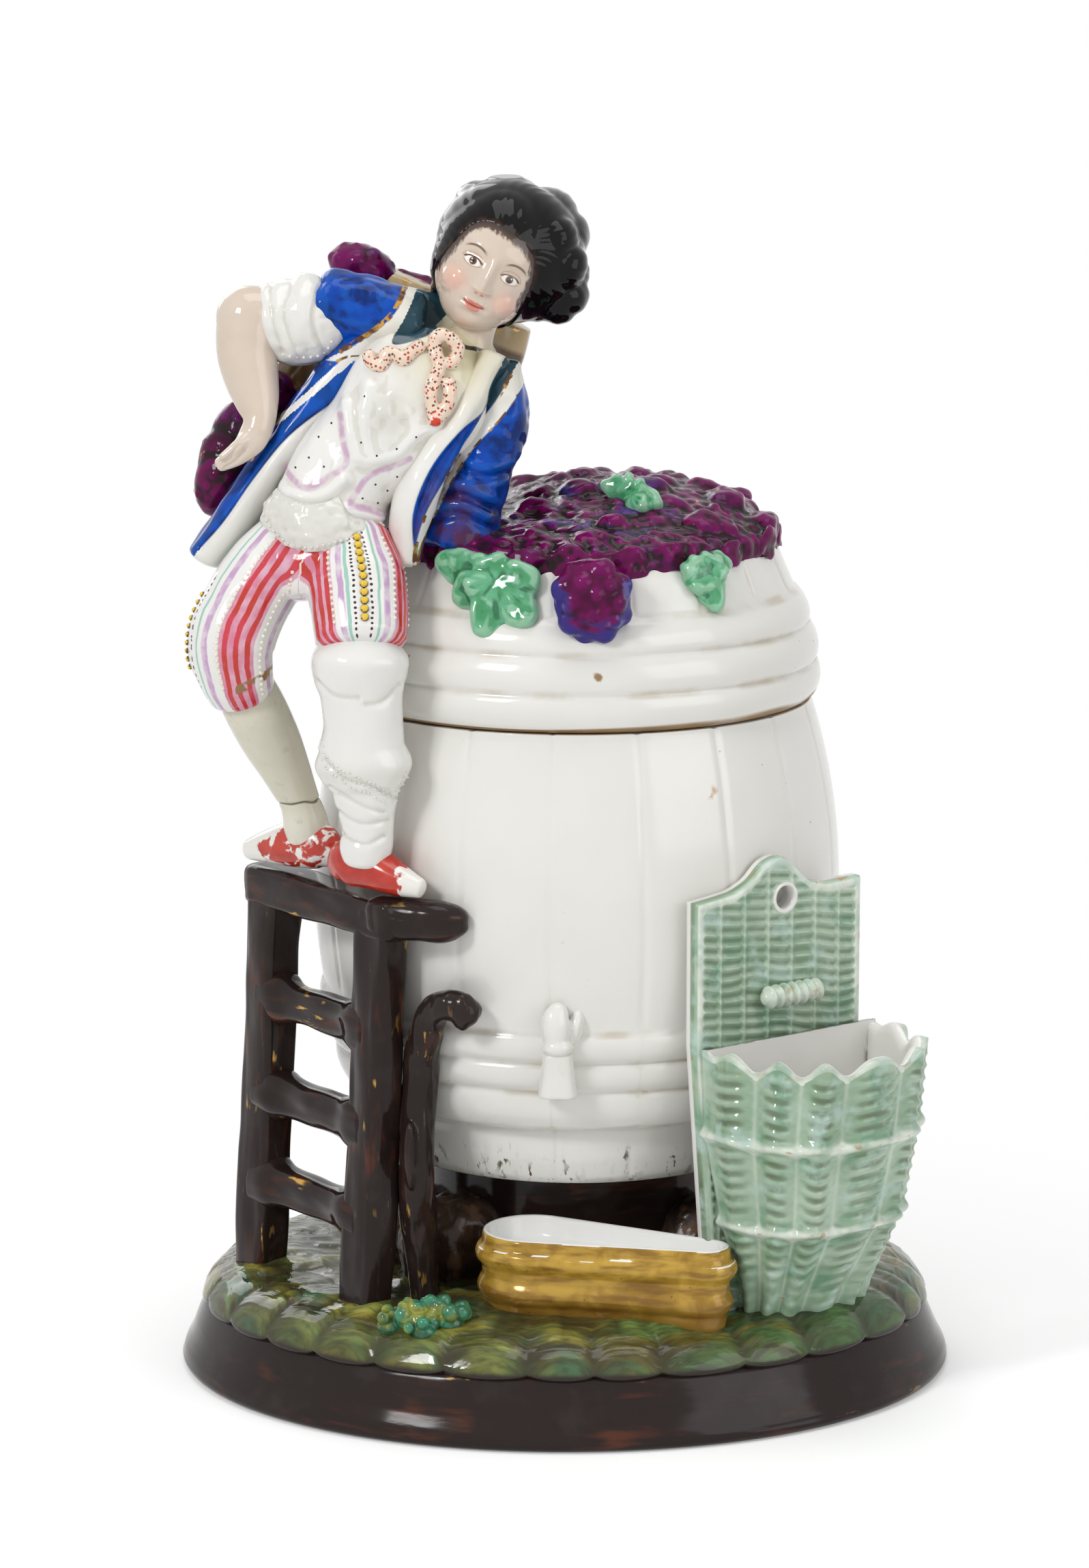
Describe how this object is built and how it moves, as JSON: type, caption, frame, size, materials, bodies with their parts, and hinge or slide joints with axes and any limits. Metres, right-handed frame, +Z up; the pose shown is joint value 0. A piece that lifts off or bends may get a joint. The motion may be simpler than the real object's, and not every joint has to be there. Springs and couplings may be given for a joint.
{
  "type": "lidded_jar",
  "caption": "Glazed porcelain jar shaped as a cooper's barrel, its lid carrying a grape picker who stands on a ladder beside a fluted wall pocket and a low oval tub.",
  "frame": {"origin": "middle of the base's foot ring, on the surface that the jar stands on", "axes": "+Z up along the barrel's axis, +X to the right of the front view, +Y to the back"},
  "size_m": [0.1956, 0.162, 0.3003],
  "materials": {
    "white_glaze": "glossy white glaze with fine painted detail",
    "brown_black_glaze": "glossy brown-black glaze with worn gold edges",
    "ground_glaze": "glossy mottled olive, yellow and green glaze",
    "green_berry_glaze": "glossy dark green glaze",
    "rock_glaze": "semi-gloss dark brown glaze",
    "celadon_glaze": "glossy celadon glaze that breaks white on the edges",
    "ochre_glaze": "glossy ochre glaze",
    "grape_glaze": "glossy dark violet glaze",
    "leaf_glaze": "glossy mint green glaze",
    "cobalt_glaze": "glossy cobalt blue glaze with gold trim",
    "skin_glaze": "satin pale pink glaze",
    "black_glaze": "glossy black glaze",
    "dotted_glaze": "pinkish white glaze with red dots",
    "striped_glaze": "white glaze with painted stripes, dots and beads",
    "red_glaze": "worn red glaze over white",
    "wicker_glaze": "gold-brown glaze",
    "cream_glaze": "glossy cream glaze"
  },
  "bodies": {
    "stand": {"base_plinth": "brown_black_glaze", "ground_mound": "ground_glaze", "barrel_pedestal": "brown_black_glaze", "barrel_body": "white_glaze", "tap_spout": "white_glaze", "tap_key": "white_glaze", "ladder_stile_left": "brown_black_glaze", "ladder_stile_right": "brown_black_glaze", "ladder_top_beam": "brown_black_glaze", "ladder_lug": "brown_black_glaze", "prop_branch": "brown_black_glaze", "pocket_back_plate": "celadon_glaze", "pocket_cup": "celadon_glaze", "pocket_bar": "celadon_glaze", "oval_tub": "ochre_glaze", "rock_mound_left": "rock_glaze", "rock_mound_right": "rock_glaze", "green_berries": "green_berry_glaze", "ladder_rung_1": "brown_black_glaze", "ladder_rung_2": "brown_black_glaze", "ladder_rung_3": "brown_black_glaze"},
    "cover": {"lid_shell": "white_glaze", "grape_heap": "grape_glaze", "hanging_bunch": "grape_glaze", "leaf_left": "leaf_glaze", "leaf_right": "leaf_glaze", "leaf_top": "leaf_glaze", "waistcoat": "white_glaze", "head": "skin_glaze", "hair": "black_glaze", "neckerchief": "dotted_glaze", "coat": "cobalt_glaze", "sleeve_left": "cobalt_glaze", "sleeve_right": "cobalt_glaze", "rolled_sleeve": "white_glaze", "arm_right": "skin_glaze", "sash": "white_glaze", "breeches": "striped_glaze", "stocking_right": "cream_glaze", "shoe_right": "red_glaze", "boot_left": "white_glaze", "shoe_left": "red_glaze", "basket": "wicker_glaze", "basket_grapes": "grape_glaze", "lower_bunch": "grape_glaze"}
  },
  "joints": [
    {"name": "lid_lift", "type": "slide", "parent": "stand", "child": "cover", "axis": [0, 0, 1], "range_m": [0, 0.08]}
  ]
}
